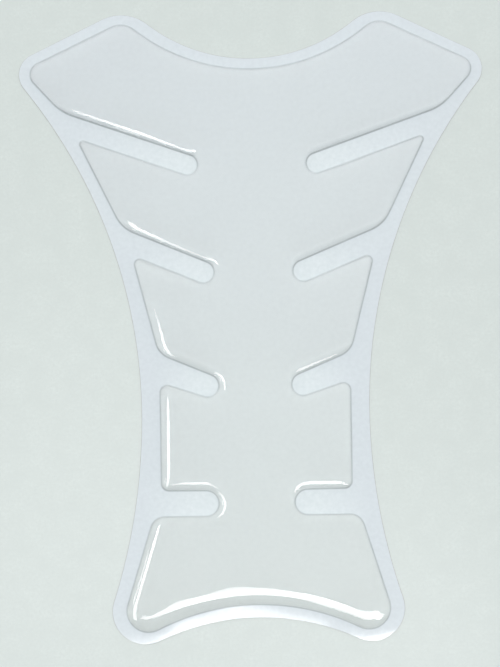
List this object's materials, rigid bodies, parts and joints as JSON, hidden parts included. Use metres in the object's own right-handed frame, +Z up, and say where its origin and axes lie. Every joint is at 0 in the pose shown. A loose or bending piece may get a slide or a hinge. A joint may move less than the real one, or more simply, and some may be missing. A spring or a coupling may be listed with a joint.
{
  "type": "motorcycle tank pad",
  "caption": "Domed clear gel tank pad with four slots in each side, lying on its glossy release liner.",
  "frame": {"origin": "under the middle of the liner's outline box, on the surface that the liner lies on", "axes": "+Z up through the pad's thickness, +Y towards the wide end of the pad, which points to the handlebars on a tank, +X across the pad"},
  "size_m": [0.1552, 0.2108, 0.0022],
  "materials": {
    "clear_gel": "polished",
    "coated_liner": "gloss"
  },
  "bodies": {
    "root": {"gel_pad": "clear_gel", "release_liner": "coated_liner"}
  },
  "joints": []
}
